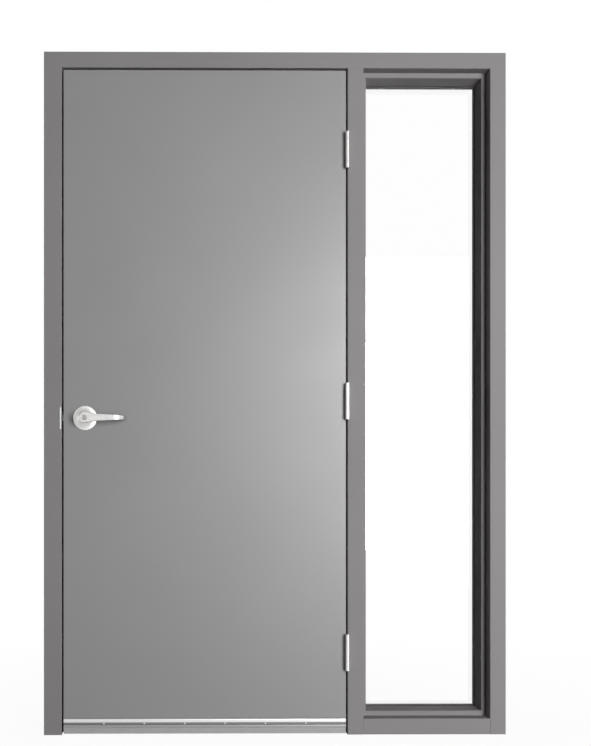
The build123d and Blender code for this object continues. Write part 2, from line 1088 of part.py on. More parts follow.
def face_plate_blank(clearance):
    """Latch face plate with rounded corners, let into the lock edge."""
    plate = Box(
        face_plate_width + 2 * clearance,
        face_plate_height + 2 * clearance,
        face_plate_thickness + clearance,
        align=(Align.CENTER, Align.CENTER, Align.MAX),
    )
    corners = plate.edges().filter_by(Axis.Z)
    plate = fillet(corners, face_plate_corner_radius + clearance)
    return edge_plane() * plate


def make_face_plate():
    plate = face_plate_blank(0)
    near = leaf_left - 2 * face_plate_thickness
    far = leaf_left + 4 * face_plate_thickness
    plate -= latch_opening(2 * cutout_clearance, near, far)
    for point in face_plate_screw_points():
        plate -= countersink(point, -edge_plane().z_dir)
    return plate


def face_plate_screw_points():
    """Heads of the two screws, on the face of the latch face plate."""
    plane = edge_plane()
    return [
        plane.from_local_coords((0, end * face_plate_screw_height, 0))
        for end in (-1, 1)
    ]


def make_face_plate_screws():
    inward = -edge_plane().z_dir
    return [countersunk_screw(point, inward) for point in face_plate_screw_points()]


def make_lock_reinforcement():
    """Channel round the lock, behind the lock edge and inside both skins."""
    web, _ = sideways(
        [(leaf_left_back, leaf_back), (leaf_left, leaf_front)],
        face_plate_thickness + cutout_clearance,
        False,
    )
    end = leaf_left + lock_box_length
    low = leaf_front + leaf_sheet
    high = leaf_back - leaf_sheet
    slope = edge_bevel / leaf_thickness
    seat = web[1][0]
    path = [
        (end, high),
        (seat + slope * (high - leaf_front), high),
        (seat + slope * (low - leaf_front), low),
        (end, low),
    ]
    section = folded_sheet(path, lock_box_sheet, bend_radius)
    box = extrude(section, amount=lock_box_height / 2, both=True)
    box = Pos(0, 0, lock_height) * box
    box -= cylinder_along((0, 1, 0), lever_axis_point, cross_bore_radius, frame_depth)
    latch_middle = (leaf_left, leaf_middle, lock_height)
    box -= cylinder_along((1, 0, 0), latch_middle, latch_bore_radius, backset)
    for point in face_plate_screw_points():
        box -= countersink(point, -edge_plane().z_dir)
    return box


# Lock, latch and levers. Profiles turn about the lever axis, measured from mid leaf.


def turned(points):
    """Solid turned about the lever axis from points of radius and distance towards +Y."""
    section = make_face(Polyline(*points, close=True))
    solid = revolve(Plane.XZ * section, Axis.Z)
    return Plane(origin=lever_axis_point, x_dir=(1, 0, 0), z_dir=(0, 1, 0)) * solid


def make_lock_chassis():
    half = leaf_thickness / 2
    tip = half + rose_height
    cavity = half - chassis_end_wall
    bore = shank_radius + running_clearance
    shell = turned(
        [
            (0, -tip),
            (hub_radius, -tip),
            (hub_radius, -half),
            (chassis_radius, -half),
            (chassis_radius, half),
            (hub_radius, half),
            (hub_radius, tip),
            (0, tip),
        ]
    )
    hollow = chassis_radius - chassis_wall
    shell -= turned(
        [
            (0, -2 * tip),
            (bore, -2 * tip),
            (bore, -cavity),
            (hollow, -cavity),
            (hollow, cavity),
            (bore, cavity),
            (bore, 2 * tip),
            (0, 2 * tip),
        ]
    )
    window_centre = (lever_x - chassis_radius, leaf_middle, lock_height)
    shell -= cylinder_along(
        (1, 0, 0), window_centre, 2 * latch_tail_radius, 4 * chassis_wall
    )
    return shell


def make_rose(side):
    """Domed cover plate: side -1 is outside, side 1 inside."""
    half = leaf_thickness / 2
    hole = hub_radius + 2 * running_clearance
    rim = (rose_radius, half + rose_rim_height)
    flat = (rose_flat_radius, half + rose_height)
    base = Polyline((hole, half + rose_height), (hole, half), (rose_radius, half), rim)
    dome = SagittaArc(rim, flat, rose_dome_rise)
    section = make_face(Curve() + [base, dome, Line(flat, base @ 0)])
    solid = revolve(Plane.XZ * section, Axis.Z)
    if side < 0:
        solid = mirror(solid, Plane.XY)
    return Plane(origin=lever_axis_point, x_dir=(1, 0, 0), z_dir=(0, 1, 0)) * solid


def lever_outline():
    """Front view of the lever: a round hub that narrows along a tangent into the arm."""
    half = lever_arm_height / 2
    reach = math.hypot(lever_arm_start, half)
    turn = math.atan2(half, lever_arm_start) + math.acos(lever_hub_radius / reach)
    tangent = (lever_hub_radius * math.cos(turn), lever_hub_radius * math.sin(turn))
    upper = [
        tangent,
        (lever_arm_start, half),
        (lever_reach - lever_bend_radius, lever_bend_height / 2),
        (lever_reach, lever_end_height / 2),
    ]
    lower = [(x, -y) for x, y in reversed(upper)]
    waist = lever_waist_radius
    arm = FilletPolyline(*(upper + lower), radius=[waist, waist, 0, 0, waist, waist])
    hub = ThreePointArc(lower[-1], (-lever_hub_radius, 0), upper[0])
    return make_face(Curve() + [arm, hub])


def lever_side(tip):
    """Side view of the arm: flat along the front, then bent back towards the leaf."""
    rear = tip - lever_arm_thickness
    end = leaf_thickness / 2 + lever_return_gap
    inner = lever_reach - lever_arm_thickness
    outline = [
        (-2 * lever_hub_radius, tip),
        (lever_reach, tip),
        (lever_reach, end),
        (inner, end),
        (inner, rear),
        (-2 * lever_hub_radius, rear),
    ]
    bend = lever_bend_radius
    corner = lever_corner_radius
    radii = [0, bend, corner, 0, bend - lever_arm_thickness, 0]
    return make_face(FilletPolyline(*outline, radius=radii, close=True))


def lever_blank():
    """Lever on the +Y side: hub, arm towards +X and an end that returns to the leaf."""
    half = leaf_thickness / 2
    start = half + rose_height + lever_gap
    tip = half + lever_projection
    side_view = Plane.XZ * lever_side(tip)
    arm = extrude(lever_outline(), amount=tip)
    arm = arm & extrude(side_view, amount=2 * lever_hub_radius, both=True)
    front_face = arm.faces().sort_by(Axis.Z)[-1]
    rim = front_face.edges() - front_face.edges().filter_by(Axis.Y)
    arm = fillet(rim, lever_edge_radius)
    rear = tip - lever_arm_thickness
    profile = [
        (0, start),
        (lever_neck_radius, start),
        (lever_neck_radius, start + lever_neck_length),
        (lever_flare_radius, rear),
        (lever_neck_radius, rear + lever_edge_radius),
        (0, rear + lever_edge_radius),
    ]
    neck = revolve(Plane.XZ * make_face(Polyline(*profile, close=True)), Axis.Z)
    shank = Pos(0, 0, start) * Cylinder(
        shank_radius,
        start - (half - chassis_end_wall) - lever_gap,
        align=(Align.CENTER, Align.CENTER, Align.MAX),
    )
    return arm + neck + shank


def make_lever(side):
    """Outside lever for side -1, inside lever for side 1."""
    lever = lever_blank()
    half = leaf_thickness / 2
    socket = spindle_side + 2 * running_clearance
    lever -= Box(socket, socket, 2 * (half + rose_height + 2 * spindle_side))
    if side < 0:
        tip = half + lever_projection
        bore = Cylinder(
            plug_radius + running_clearance,
            plug_length,
            align=(Align.CENTER, Align.CENTER, Align.MAX),
        )
        dish = Cone(
            plug_radius,
            plug_dish_radius,
            plug_dish_depth,
            align=(Align.CENTER, Align.CENTER, Align.MAX),
        )
        lever -= Pos(0, 0, tip) * (bore + dish)
        lever = mirror(lever, Plane.XY)
    place = Plane(origin=lever_axis_point, x_dir=(1, 0, 0), z_dir=(0, 1, 0))
    return place * lever


def make_spindle():
    half = leaf_thickness / 2 + rose_height + 2 * spindle_side
    bar = Box(spindle_side, spindle_side, 2 * half - 2 * lever_gap)
    return Plane(origin=lever_axis_point, x_dir=(1, 0, 0), z_dir=(0, 1, 0)) * bar


def make_key_plug():
    tip = leaf_thickness / 2 + lever_projection
    plug = Cylinder(
        plug_radius,
        plug_length - lever_gap,
        align=(Align.CENTER, Align.CENTER, Align.MAX),
    )
    keyway = Box(
        keyway_width,
        keyway_height,
        keyway_depth,
        align=(Align.CENTER, Align.CENTER, Align.MAX),
    )
    plug = Pos(0, 0, tip) * (plug - keyway)
    plug = mirror(plug, Plane.XY)
    return Plane(origin=lever_axis_point, x_dir=(1, 0, 0), z_dir=(0, 1, 0)) * plug


def make_latch_case():
    start = leaf_left_middle + face_plate_thickness + edge_bevel / 2
    end = lever_x
    length = end - start
    centre = ((start + end) / 2, leaf_middle, lock_height)
    case = cylinder_along((1, 0, 0), centre, latch_case_radius, length)
    bore = latch_case_radius - latch_case_wall
    bore_end = leaf_left + latch_head_length + latch_throw + cutout_clearance
    bore_length = bore_end - leaf_left + 2 * latch_throw
    bore_centre = (bore_end - bore_length / 2, leaf_middle, lock_height)
    case -= cylinder_along((1, 0, 0), bore_centre, bore, bore_length)
    tail_hole = latch_tail_radius + running_clearance
    case -= cylinder_along((1, 0, 0), centre, tail_hole, 2 * length)
    clear = chassis_radius + running_clearance
    case -= cylinder_along((0, 1, 0), lever_axis_point, clear, frame_depth)
    return case


def retractor_left():
    """X of the retractor's closed end, against the chassis wall with a small gap."""
    return lever_x - chassis_radius + chassis_wall + retractor_gap


def make_latch_bolt():
    """Sprung bolt with its slope on the stop side, and its tail."""
    tip = leaf_left - latch_throw
    heel = leaf_left + latch_head_length
    low = leaf_middle - latch_head_width / 2
    high = leaf_middle + latch_head_width / 2
    outline = [
        (tip, low),
        (tip, low + latch_nose),
        (tip + latch_slope_length, high),
        (heel, high),
        (heel, low),
    ]
    section = make_face(Polyline(*outline, close=True))
    head = extrude(section, amount=latch_head_height / 2, both=True)
    head = Pos(0, 0, lock_height) * head
    length = retractor_left() - heel
    centre = (heel + length / 2, leaf_middle, lock_height)
    return head + cylinder_along((1, 0, 0), centre, latch_tail_radius, length)


def make_retractor():
    """Fork that straddles the spindle and pulls the latch tail."""
    inner = spindle_side * math.sqrt(2) / 2 + 2 * lever_gap
    outer = inner + retractor_arm
    width = retractor_width
    left = retractor_left()
    right = lever_x + inner
    fork = box_between(
        (left, leaf_middle - width / 2, lock_height - outer),
        (right, leaf_middle + width / 2, lock_height + outer),
    )
    fork -= box_between(
        (left + retractor_web, leaf_middle - width, lock_height - inner),
        (right + retractor_web, leaf_middle + width, lock_height + inner),
    )
    return fork


# Door sweep


def sweep_top():
    return sweep_bottom + sweep_lower_bead + sweep_groove + sweep_upper_bead


def sweep_slot_top():
    return sweep_bottom + sweep_slot_depth


def make_sweep_retainer():
    """Extruded strip with two rounded beads and a groove for its screws."""
    outer = leaf_front - sweep_bead_stand
    floor = leaf_front - sweep_base
    groove_low = sweep_bottom + sweep_lower_bead
    groove_high = groove_low + sweep_groove
    outline = [
        (leaf_front, sweep_bottom),
        (outer, sweep_bottom),
        (outer, groove_low),
        (floor, groove_low),
        (floor, groove_high),
        (outer, groove_high),
        (outer, sweep_top()),
        (leaf_front, sweep_top()),
    ]
    edge = sweep_bead_round
    radii = [0, edge, edge, 0, 0, edge, 2 * edge, 0]
    section = make_face(FilletPolyline(*outline, radius=radii, close=True))
    slot_middle = leaf_front - sweep_bead_stand / 2
    half = sweep_seal_thickness / 2
    slot = make_face(
        Polyline(
            (slot_middle - half, sweep_floor_clearance),
            (slot_middle + half, sweep_floor_clearance),
            (slot_middle + half, sweep_slot_top()),
            (slot_middle - half, sweep_slot_top()),
            close=True,
        )
    )
    start = leaf_left + sweep_side_clearance
    end = leaf_right - sweep_side_clearance
    plane = Plane(origin=(start, 0, 0), x_dir=(0, 1, 0), z_dir=(1, 0, 0))
    strip = extrude(plane * (section - slot), amount=end - start)
    return drilled_for_sweep(strip)


def sweep_screw_points():
    """Screws in the groove, evenly spaced across the leaf."""
    pitch = (leaf_right - leaf_left) / (sweep_screw_count + 1)
    height = sweep_bottom + sweep_lower_bead + sweep_groove / 2
    return [
        (leaf_left + (i + 1) * pitch, leaf_front - sweep_base, height)
        for i in range(sweep_screw_count)
    ]


def drilled_for_sweep(piece):
    """Piece with a hole for each screw of the sweep."""
    for point in sweep_screw_points():
        reach = leaf_thickness
        piece -= cylinder_along((0, 1, 0), point, sweep_screw_radius, reach)
    return piece


def make_sweep_screws():
    screws = []
    for point in sweep_screw_points():
        head = Cylinder(
            sweep_screw_head_radius,
            sweep_base,
            align=(Align.CENTER, Align.CENTER, Align.MAX),
        )
        stem = Cylinder(
            sweep_screw_radius,
            screw_length,
            align=(Align.CENTER, Align.CENTER, Align.MIN),
        )
        place = Plane(origin=point, z_dir=(0, 1, 0))
        screws.append(place * (head + stem))
    return screws


def make_sweep_seal():
    middle = leaf_front - sweep_bead_stand / 2
    half = sweep_seal_thickness / 2
    return box_between(
        (leaf_left + sweep_side_clearance, middle - half, sweep_floor_clearance),
        (leaf_right - sweep_side_clearance, middle + half, sweep_slot_top()),
    )


def write(name, shapes):
    """Write one node, a solid or a list of separate solids."""
    pieces = shapes if isinstance(shapes, list) else [shapes]
    solids = [solid for piece in pieces for solid in piece.solids()]
    node = solids[0] if len(solids) == 1 else Compound(children=solids)
    export_step(node, f"parts/{name}.step")


write("strike_jamb", make_strike_jamb())
write("mullion", make_mullion())
write("sidelite_jamb", make_sidelite_jamb())
write("head", make_head())
write("sidelite_sill", make_sidelite_sill())
write("frame_hinge_reinforcements", make_hinge_plates(1))
write("strike_plate", make_strike_plate())
write("strike_screws", make_strike_screws())
write("strike_reinforcement", make_strike_reinforcement())
write("dust_box", make_dust_box())
write("silencers", make_silencers())
write("floor_anchor_strike_jamb", make_jamb_floor_anchor(opening_left, -1, 0))
write("floor_anchor_mullion", make_mullion_floor_anchor())
sill_stop_top = sill_face + stop_height
write(
    "floor_anchor_sidelite_jamb",
    make_jamb_floor_anchor(sidelite_right, 1, sill_stop_top),
)
write("wall_anchors_strike_jamb", make_wall_anchors(opening_left, -1, strike_jamb_face))
write("wall_anchors_sidelite_jamb", make_wall_anchors(sidelite_right, 1, sidelite_jamb_face))

write("sidelite_glass", make_glass())
write("glazing_tape_front", make_tape(stop_back, glass_front))
write("glazing_tape_back", make_tape(glass_back, bead_front))
write("setting_blocks", make_setting_blocks())
for bead_name in ("left", "right", "top", "bottom"):
    write(f"glazing_stop_{bead_name}", make_bead(bead_name))
write("glazing_stop_screws", make_bead_screws())

write("front_skin", make_front_skin())
write("back_skin", make_back_skin())
write("top_channel", make_end_channel(leaf_top, -1))
write("bottom_channel", drilled_for_sweep(make_end_channel(undercut, 1)))
write("stiffeners", make_stiffeners())
write("leaf_hinge_reinforcements", make_hinge_plates(-1))
write("lock_reinforcement", make_lock_reinforcement())

for hinge_name, height in zip(("bottom", "middle", "top"), hinge_heights):
    write(f"{hinge_name}_hinge_frame_leaf", make_hinge_leaf(height, 1))
    write(f"{hinge_name}_hinge_door_leaf", make_hinge_leaf(height, -1))
    write(f"{hinge_name}_hinge_pin", make_hinge_pin(height))
write("frame_hinge_screws", make_hinge_screws(1))
write("door_hinge_screws", make_hinge_screws(-1))

write("lock_chassis", make_lock_chassis())
write("outside_rose", make_rose(-1))
write("inside_rose", make_rose(1))
write("outside_lever", make_lever(-1))
write("inside_lever", make_lever(1))
write("spindle", make_spindle())
write("key_plug", make_key_plug())
write("latch_case", make_latch_case())
write("latch_face_plate", make_face_plate())
write("face_plate_screws", make_face_plate_screws())
write("latch_bolt", make_latch_bolt())
write("retractor", make_retractor())

write("sweep_retainer", make_sweep_retainer())
write("sweep_seal", make_sweep_seal())
write("sweep_screws", make_sweep_screws())
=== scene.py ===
"""Looks of a flush steel door in its welded frame, with a glazed sidelite on the right."""

import json
import math

import bmesh
import bpy
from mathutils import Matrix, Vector


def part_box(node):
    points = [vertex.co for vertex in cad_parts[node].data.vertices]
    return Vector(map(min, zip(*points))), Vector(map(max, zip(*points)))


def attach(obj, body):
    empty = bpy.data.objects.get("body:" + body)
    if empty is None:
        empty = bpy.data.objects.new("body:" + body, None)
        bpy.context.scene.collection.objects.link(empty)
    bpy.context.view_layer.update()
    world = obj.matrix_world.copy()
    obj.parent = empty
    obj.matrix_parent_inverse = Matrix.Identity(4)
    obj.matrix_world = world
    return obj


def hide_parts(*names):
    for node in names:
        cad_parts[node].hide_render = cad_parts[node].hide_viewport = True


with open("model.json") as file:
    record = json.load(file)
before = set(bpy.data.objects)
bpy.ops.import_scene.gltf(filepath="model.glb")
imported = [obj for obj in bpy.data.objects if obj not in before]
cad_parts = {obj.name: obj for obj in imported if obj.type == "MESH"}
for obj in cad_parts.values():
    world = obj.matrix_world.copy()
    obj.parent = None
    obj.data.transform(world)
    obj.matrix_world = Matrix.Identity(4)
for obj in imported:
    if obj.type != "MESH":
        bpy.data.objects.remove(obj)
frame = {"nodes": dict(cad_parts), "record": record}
nodes = frame["nodes"]
body_of_node = {
    name: body
    for body, names in frame["record"]["behaviour"]["bodies"].items()
    for name in names
}
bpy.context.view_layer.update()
cad_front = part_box("mullion")[0].y
door_middle = Vector((-0.26, 0.0, 1.05))

# Camera, metres and the photograph's pixels.
picture_width = 591
picture_height = 746
sensor_side = 36.0
metres_per_pixel = 0.003197
camera_distance = 3.9
camera_x = -0.61
camera_z = 0.847
camera_turn = math.radians(0.5)
optical_pixel_x = 165
optical_pixel_y = 470

# Light, metres and watts. Two soft boxes stand in front, and the rest light the other sides.
key_place = (1.45, -4.5, 1.6)
key_size = 1.5
key_power = 155
low_place = (2.0, -4.7, 0.45)
low_aim = (1.0, 0.0, 0.45)
low_size = 1.6
low_power = 116
rear_place = (1.2, 9.0, 1.0)
rear_size = 2.4
rear_power = 800
side_distance = 4.2
side_height = 1.2
side_size = 1.6
side_power = 45
overhead_height = 4.6
overhead_long = 2.4
overhead_deep = 0.2
overhead_power = 26

# World, as strengths. gloss_fade is the part of the direction's y over which the room that
# gloss meets goes from its front strength to its back strength. A ray's depth is a whole
# number, so before_first_bounce parts none from one.
white = (1.0, 1.0, 1.0, 1.0)
background_strength = 1.0
ambient_strength = 0.02
gloss_strength_front = 0.85
gloss_strength_back = 0.1
gloss_fade = (-0.3, 0.3)
before_first_bounce = 0.5

# Floor, metres and shares. It glows fully white beyond the reach of the shadow.
floor_side = 60.0
shadow_reach = 0.7
shadow_end = 2.4
floor_glow = 0.94
floor_shade = (0.95, 0.95, 0.95)
floor_bounce = (0.1, 0.1, 0.1)

# Patterns of the finishes: repeats per metre, then the noise's detail and roughness. The
# metals' lines have their repeats in the stretch of their grain.
paint_drift = (1.7, 3.0, 0.45)
paint_dust = (900.0, 2.0, 0.6)
paint_sheen = (6.0, 4.0, 0.5)
paint_sheet_wave = (3.2, 1.0, 0.5)
paint_peel = (420.0, 2.0, 0.5)
metal_lines = (1.0, 5.0, 0.62)
metal_cloud = (55.0, 3.0, 0.5)
zinc_skin = (260.0, 2.0, 0.5)
rubber_mottle = (38.0, 4.0, 0.5)
glass_wave = (5.0, 1.0, 0.5)

# Detail and roughness of a rubber's skin, whose repeats come with each rubber.
rubber_skin = (3.0, 0.5)

# Crystals of the zinc coat, repeats per metre.
zinc_crystals = 120.0

# Stretch of a pattern along x, y and z. A grain runs along the axis with the least.
level_grain = (60.0, 900.0, 900.0)
upright_grain = (900.0, 900.0, 60.0)
even_grain = (900.0, 900.0, 900.0)
drawn_grain = (8.0, 1400.0, 1400.0)
glass_roll = (1.0, 1.0, 0.35)

# Part of a pattern's values that a finish spreads over its whole range, and the share of
# the dust in the tone of paint.
tone_of_paint = (0.42, 0.83)
tone_of_grain = (0.36, 0.64)
tone_of_rubber = (0.35, 0.65)
gloss_of_grain = (0.25, 0.75)
middle_values = (0.3, 0.7)
dust_share = 0.25

# Spread of a finish's roughness to either side.
paint_spread = 0.03
rubber_spread = 0.06
grain_spread_down = 0.07
grain_spread_up = 0.08

# Depth of the reliefs, metres.
sheet_wave_depth = 0.0006
peel_depth = 0.00003
grain_depth = 0.00001
zinc_depth = 0.00002
rubber_depth = 0.00002
glass_wave_depth = 0.00005

# Sweep: metres from the front of its beads, from the leaf and twice from the floor, and
# the greys of the painted shade on its lower bead and in its groove.
# The first two bound a painted shade that darkens the metal the deeper it lies, for the shadow
# in the groove.
groove_shade_start = 0.0025
groove_floor = 0.002
lower_bead_top = 0.0345
groove_middle = 0.0365
# Both greys are painted shade: the first on the lower bead, the second in the groove.
lower_bead_shade_tone = 0.27
groove_shade_tone = 0.16

# Screws, metres and counts. Recess Reach runs from the axis to a slot's end, and Recess
# Depth from the top of the head. Each recess has a chance turn of up to a quarter, which
# goes by the screw's number. order_step is too coarse for rounding to change the numbers.
weld_distance = 0.000002
order_step = 0.0001
screw_sides = 24
crown_rings = 4
quarter_turn = math.pi / 2
countersunk = {
    "Neck Radius": 0.0027,
    "Head Height": 0.0027,
    "Crown": 0.0,
    "Shank Radius": 0.0027,
    "Recess Reach": 0.0031,
    "Recess Width": 0.0011,
    "Recess Depth": 0.0021,
}
pan_head = {
    "Neck Radius": 0.0036,
    "Head Height": 0.0018,
    "Crown": 0.0007,
    "Shank Radius": 0.0018,
    "Recess Reach": 0.0021,
    "Recess Width": 0.0008,
    "Recess Depth": 0.0012,
}
sweep_head = {
    "Neck Radius": 0.0028,
    "Head Height": 0.002,
    "Crown": 0.0008,
    "Shank Radius": 0.0016,
    "Recess Reach": 0.0016,
    "Recess Width": 0.0007,
    "Recess Depth": 0.0012,
}


# Node helpers.


def add_node(tree, kind, inputs=None, **settings):
    """Outputs of a new node, whose inputs are given as plain values or other sockets."""
    made = tree.nodes.new(kind)
    for key, value in settings.items():
        setattr(made, key, value)
    for key, value in (inputs or {}).items():
        if isinstance(value, bpy.types.NodeSocket):
            tree.links.new(value, made.inputs[key])
        else:
            made.inputs[key].default_value = value
    return made.outputs


def maths(tree, operation, *values):
    inputs = dict(enumerate(values))
    return add_node(tree, "ShaderNodeMath", inputs, operation=operation)["Value"]


def product(tree, first, second):
    return maths(tree, "MULTIPLY", first, second)


def mean(tree, first, second):
    return product(tree, maths(tree, "ADD", first, second), 0.5)


def noise(tree, point, scale, detail, roughness):
    inputs = {"Vector": point, "Scale": scale, "Detail": detail, "Roughness": roughness}
    return add_node(tree, "ShaderNodeTexNoise", inputs)["Fac"]


def ranged(tree, value, old, new=(0.0, 1.0)):
    """value taken from the old range to the new one, held at both ends."""
    inputs = {
        "Value": value,
        "From Min": old[0],
        "From Max": old[1],
        "To Min": new[0],
        "To Max": new[1],
    }
    return add_node(tree, "ShaderNodeMapRange", inputs)["Result"]


def blended(tree, share, first, second):
    """A number between two by share."""
    inputs = {"Factor": share, "A": first, "B": second}
    return add_node(tree, "ShaderNodeMix", inputs)["Result"]


def tinted(tree, share, first, second):
    """A colour between two by share. The first may be a socket."""
    if isinstance(first, tuple):
        first = (*first, 1.0)
    inputs = {"Factor": share, "A": first, "B": (*second, 1.0)}
    return add_node(tree, "ShaderNodeMix", inputs, data_type="RGBA")["Result"]


def object_point(tree, scale=(1.0, 1.0, 1.0)):
    """The surface point on Object coordinates, stretched by scale."""
    point = add_node(tree, "ShaderNodeTexCoord")["Object"]
    return add_node(tree, "ShaderNodeMapping", {"Vector": point, "Scale": scale})["Vector"]


def relief(tree, height, depth, under=None):
    """A bump of that depth in metres, laid on another one where it is given."""
    inputs = {"Height": height, "Distance": depth}
    if under is not None:
        inputs["Normal"] = under
    return add_node(tree, "ShaderNodeBump", inputs)["Normal"]


# Finishes.


def finish_of(name, sockets):
    """A material whose uniform values sit on the shader's own sockets."""
    material = bpy.data.materials.new(name)
    material.use_nodes = True
    tree = material.node_tree
    shader = tree.nodes["Principled BSDF"]
    for socket, value in sockets.items():
        shader.inputs[socket].default_value = value
    return material, tree, shader


def dress(tree, shader, **sockets):
    """Link what varies over the surface to the shader."""
    names = {"colour": "Base Color", "gloss": "Roughness", "normal": "Normal"}
    for key, socket in sockets.items():
        tree.links.new(socket, shader.inputs[names[key]])


def paint(name, pale, deep, roughness, specular):
    """Sprayed paint on sheet steel: orange peel, a little drift of tone and fine dust."""
    material, tree, shader = finish_of(
        name, {"Roughness": roughness, "Specular IOR Level": specular}
    )
    point = object_point(tree)
    drift = noise(tree, point, *paint_drift)
    dust = product(tree, noise(tree, point, *paint_dust), dust_share)
    share = ranged(tree, maths(tree, "ADD", dust, drift), tone_of_paint)
    spread = (roughness - paint_spread, roughness + paint_spread)
    sheet_wave = relief(tree, noise(tree, point, *paint_sheet_wave), sheet_wave_depth)
    dress(
        tree,
        shader,
        colour=tinted(tree, share, deep, pale),
        gloss=ranged(tree, noise(tree, point, *paint_sheen), middle_values, spread),
        normal=relief(tree, noise(tree, point, *paint_peel), peel_depth, sheet_wave),
    )
    return material


def brushed(name, pale, deep, roughness, grain):
    """Satin metal with its lines drawn out along the axis where grain is smallest."""
    material, tree, shader = finish_of(name, {"Metallic": 1.0, "Roughness": roughness})
    lines = noise(tree, object_point(tree, grain), *metal_lines)
    cloud = noise(tree, object_point(tree), *metal_cloud)
    share = ranged(tree, mean(tree, lines, cloud), tone_of_grain)
    spread = (roughness - grain_spread_down, roughness + grain_spread_up)
    dress(
        tree,
        shader,
        colour=tinted(tree, share, deep, pale),
        gloss=ranged(tree, lines, gloss_of_grain, spread),
        normal=relief(tree, lines, grain_depth),
    )
    return material


def drawn_aluminium(pale, deep, roughness, groove_roughness):
    """Mill-finish extrusion: fine lines, and painted shade on its lower bead and in its
    groove.
    """
    outer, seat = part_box("sweep_retainer")
    material, tree, shader = finish_of("mill_finish_aluminium", {"Metallic": 1.0})
    lines = noise(tree, object_point(tree, drawn_grain), *metal_lines)
    metal = tinted(tree, ranged(tree, lines, tone_of_grain), deep, pale)
    place = add_node(tree, "ShaderNodeSeparateXYZ", {"Vector": object_point(tree)})
    inward = (outer.y + groove_shade_start, seat.y - groove_floor)
    # Painted shade: the metal is darker the deeper it lies behind the beads' front, for the
    # groove's shadow. The same mask also makes it rougher there.
    groove_shade = ranged(tree, place["Y"], inward)
    # Painted shade: the lower bead is darker below the groove.
    lower_bead_shade = ranged(tree, place["Z"], (lower_bead_top, groove_middle), (1.0, 0.0))
    for share, tone in ((lower_bead_shade, lower_bead_shade_tone), (groove_shade, groove_shade_tone)):
        metal = tinted(tree, share, metal, (tone, tone, tone))
    dress(
        tree,
        shader,
        colour=metal,
        gloss=blended(tree, groove_shade, roughness, groove_roughness),
        normal=relief(tree, lines, grain_depth),
    )
    return material


def galvanized(pale, deep, smooth, rough):
    """Zinc coat with flat crystals of a few millimetres, each its own grey."""
    material, tree, shader = finish_of("zinc_coated_sheet", {"Metallic": 0.9})
    point = object_point(tree)
    crystal = add_node(tree, "ShaderNodeTexVoronoi", {"Vector": point, "Scale": zinc_crystals})
    grey = add_node(tree, "ShaderNodeSeparateColor", {"Color": crystal["Color"]})["Red"]
    dress(
        tree,
        shader,
        colour=tinted(tree, grey, deep, pale),
        gloss=ranged(tree, grey, (0.0, 1.0), (smooth, rough)),
        normal=relief(tree, noise(tree, point, *zinc_skin), zinc_depth),
    )
    return material


def moulded(name, pale, deep, roughness, skin_repeats):
    """Rubber or vinyl: matte, faintly mottled, with a fine skin."""
    material, tree, shader = finish_of(
        name, {"Roughness": roughness, "Specular IOR Level": 0.35}
    )
    point = object_point(tree)
    mottle = ranged(tree, noise(tree, point, *rubber_mottle), tone_of_rubber)
    skin = noise(tree, point, skin_repeats, *rubber_skin)
    spread = (roughness - rubber_spread, roughness + rubber_spread)
    dress(
        tree,
        shader,
        colour=tinted(tree, mottle, deep, pale),
        gloss=ranged(tree, skin, middle_values, spread),
        normal=relief(tree, skin, rubber_depth),
    )
    return material


def clear_glass():
    """Float glass: clear, a trace of green, and a very slight roll wave."""
    material, tree, shader = finish_of(
        "float_glass",
        {
            "Base Color": (0.996, 1.0, 0.998, 1.0),
            "Roughness": 0.0,
            "IOR": 1.5,
            "Transmission Weight": 1.0,
        },
    )
    wave = noise(tree, object_point(tree, glass_roll), *glass_wave)
    dress(tree, shader, normal=relief(tree, wave, glass_wave_depth))
    return material


frame_grey = paint(
    "frame_paint_warm_grey",
    pale=(0.285, 0.273, 0.276),
    deep=(0.265, 0.253, 0.256),
    roughness=0.75,
    specular=0.0,
)
leaf_grey = paint(
    "leaf_paint_neutral_grey",
    pale=(0.266, 0.266, 0.266),
    deep=(0.248, 0.248, 0.248),
    roughness=0.38,
    specular=0.62,
)
satin = brushed(
    "satin_steel",
    pale=(0.50, 0.495, 0.49),
    deep=(0.42, 0.415, 0.41),
    roughness=0.42,
    grain=level_grain,
)
# The roses get the levers' satin steel painted paler: painted light for their brightly lit
# domes.
painted_light_satin = brushed(
    "satin_steel_painted_light",
    pale=(0.64, 0.635, 0.625),
    deep=(0.54, 0.535, 0.525),
    roughness=0.42,
    grain=level_grain,
)
plug_steel = brushed(
    "satin_steel_plug",
    pale=(0.42, 0.415, 0.405),
    deep=(0.33, 0.325, 0.32),
    roughness=0.36,
    grain=even_grain,
)
upright_satin = brushed(
    "satin_steel_upright",
    pale=(0.58, 0.575, 0.57),
    deep=(0.50, 0.495, 0.49),
    roughness=0.38,
    grain=upright_grain,
)
dull_steel = brushed(
    "dull_steel_upright",
    pale=(0.36, 0.36, 0.36),
    deep=(0.30, 0.30, 0.30),
    roughness=0.5,
    grain=upright_grain,
)
zinc = galvanized(
    pale=(0.62, 0.63, 0.64), deep=(0.42, 0.43, 0.44), smooth=0.34, rough=0.52
)
# The second roughness is for the groove, where the colour carries painted shade.
extruded = drawn_aluminium(
    pale=(0.64, 0.64, 0.64), deep=(0.56, 0.56, 0.56), roughness=0.34, groove_roughness=0.6
)
vinyl = moulded(
    "grey_vinyl",
    pale=(0.415, 0.415, 0.415),
    deep=(0.385, 0.385, 0.385),
    roughness=0.6,
    skin_repeats=700.0,
)
rubber = moulded(
    "dark_rubber",
    pale=(0.035, 0.035, 0.035),
    deep=(0.02, 0.02, 0.02),
    roughness=0.7,
    skin_repeats=900.0,
)
glass = clear_glass()

